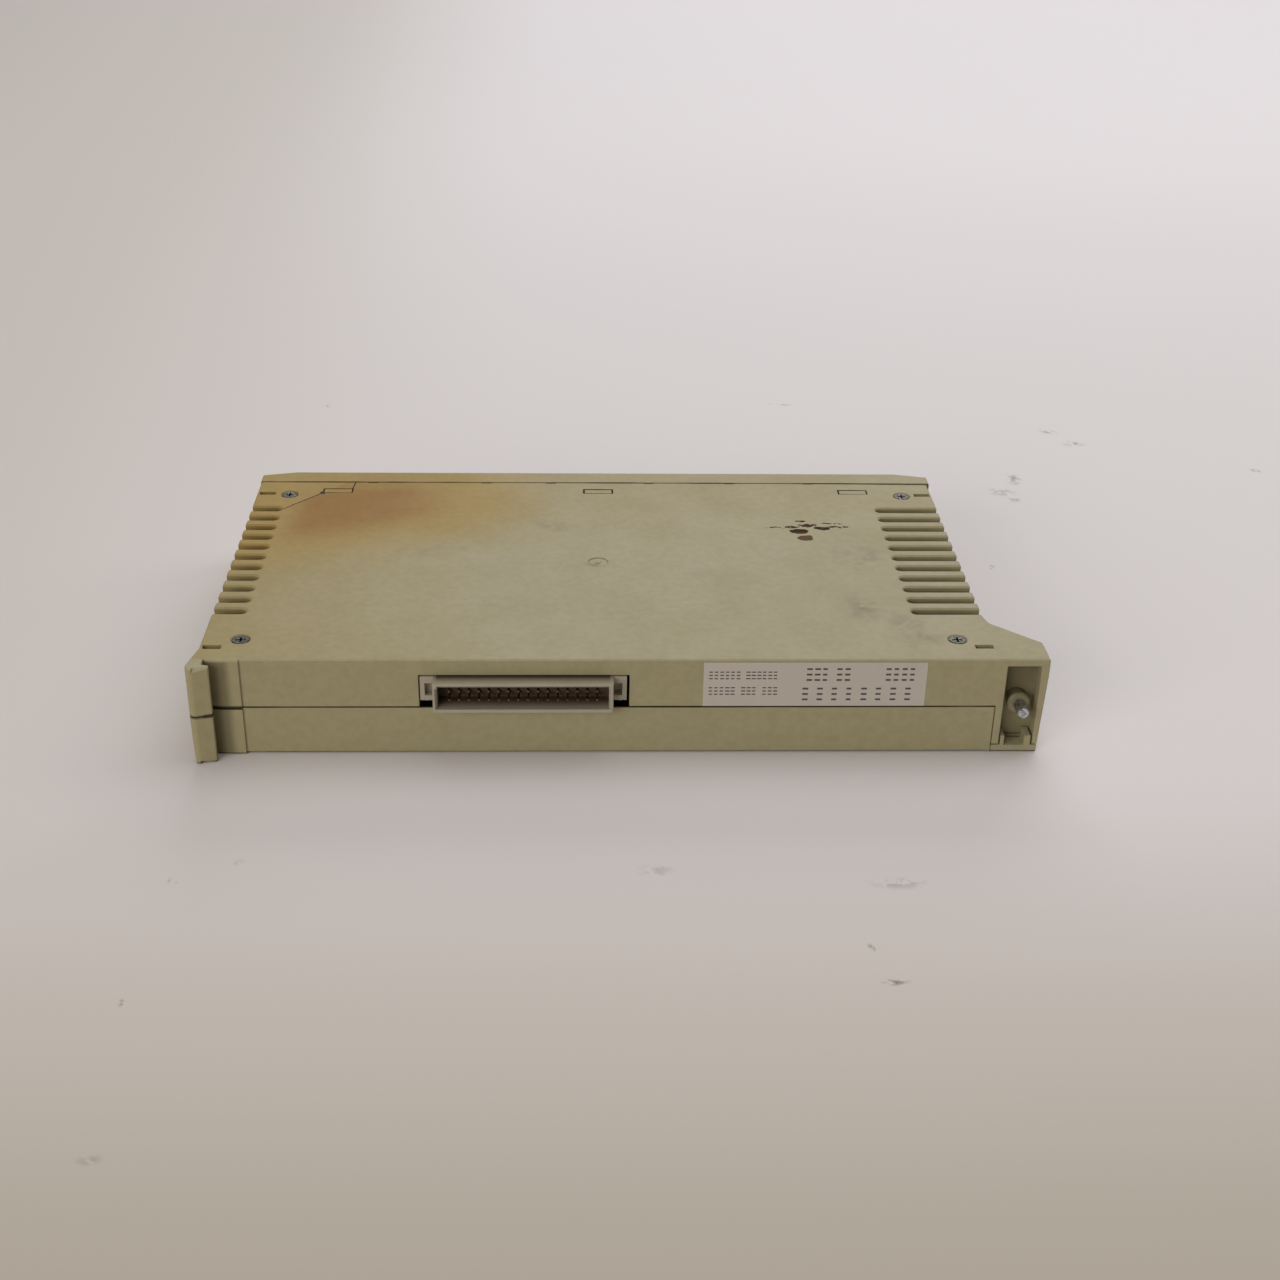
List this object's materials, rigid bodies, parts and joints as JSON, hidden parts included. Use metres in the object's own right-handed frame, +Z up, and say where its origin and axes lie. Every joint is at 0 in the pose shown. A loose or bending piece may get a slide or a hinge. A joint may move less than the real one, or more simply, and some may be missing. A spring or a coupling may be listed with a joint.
{
  "type": "plc input module",
  "caption": "Flat slot-in digital input module: louvred two-shell case with rear bus connector, hook lip, captive fixing screw and hinged terminal door.",
  "frame": {"origin": "under the middle of the bounding box, on the surface that the module lies on", "axes": "+X along the length from the hook end to the screw end, +Y from the rear connector face to the front door, +Z up through the thickness of the case lying on its side"},
  "size_m": [0.222, 0.1263, 0.028],
  "materials": {
    "beige_plastic": "matte, aged beige-grey ABS with a fine moulded texture",
    "zinc_steel": "bright zinc plate, worn",
    "nickel_brass": "nickel-plated brass",
    "bronze_pins": "copper-brown contact pins",
    "paper": "matt white paper",
    "clear_plastic": "clear polycarbonate",
    "red_diode": "red tinted lens, unlit",
    "circuit_board": "green solder mask on glass laminate",
    "connector_plastic": "off-white glass-filled polyester",
    "terminal_plastic": "green polyamide",
    "black_epoxy": "matt black moulding compound",
    "resistor_body": "lacquered tan body",
    "capacitor_sleeve": "dark blue shrink sleeve",
    "capacitor_film": "dipped orange coating",
    "sink_aluminium": "plain extruded aluminium",
    "label": "white laminated sticker"
  },
  "bodies": {
    "module": {"upper_case_shell": "beige_plastic", "lower_case_shell": "beige_plastic", "front_frame": "beige_plastic", "case_screws": "zinc_steel", "board_screws": "zinc_steel", "bus_connector_screws": "zinc_steel", "regulator_screw": "zinc_steel", "terminal_screws": "zinc_steel", "terminal_cages": "nickel_brass", "bus_connector_pins": "bronze_pins", "board_link_pins": "bronze_pins", "light_guides": "clear_plastic", "indicator_leds": "red_diode", "indicator_board": "circuit_board", "main_circuit_board": "circuit_board", "bus_connector_body": "connector_plastic", "terminal_block_1": "terminal_plastic", "terminal_block_2": "terminal_plastic", "terminal_block_3": "terminal_plastic", "terminal_block_4": "terminal_plastic", "optocouplers": "black_epoxy", "bus_logic_chips": "black_epoxy", "voltage_regulator": "black_epoxy", "input_resistors": "resistor_body", "filter_capacitors": "capacitor_sleeve", "decoupling_capacitors": "capacitor_film", "regulator_heatsink": "sink_aluminium", "rating_label": "label"},
    "door": {"front_door": "beige_plastic", "legend_strip": "paper", "legend_cover": "clear_plastic"},
    "captive_bush": {"screw_bush": "beige_plastic"},
    "fixing_screw": {"mounting_screw": "zinc_steel"}
  },
  "joints": [
    {"name": "door_hinge", "type": "hinge", "parent": "module", "child": "door", "pos_m": [0, 0.0618, 0.0242], "axis": [1, 0, 0], "range_deg": [0, 95]},
    {"name": "screw_travel", "type": "slide", "parent": "module", "child": "captive_bush", "axis": [0, 1, 0], "range_m": [0, 0.0028]},
    {"name": "screw_turn", "type": "hinge", "parent": "captive_bush", "child": "fixing_screw", "pos_m": [0.1045, -0.0548, 0.014], "axis": [0, -1, 0], "continuous": true}
  ]
}
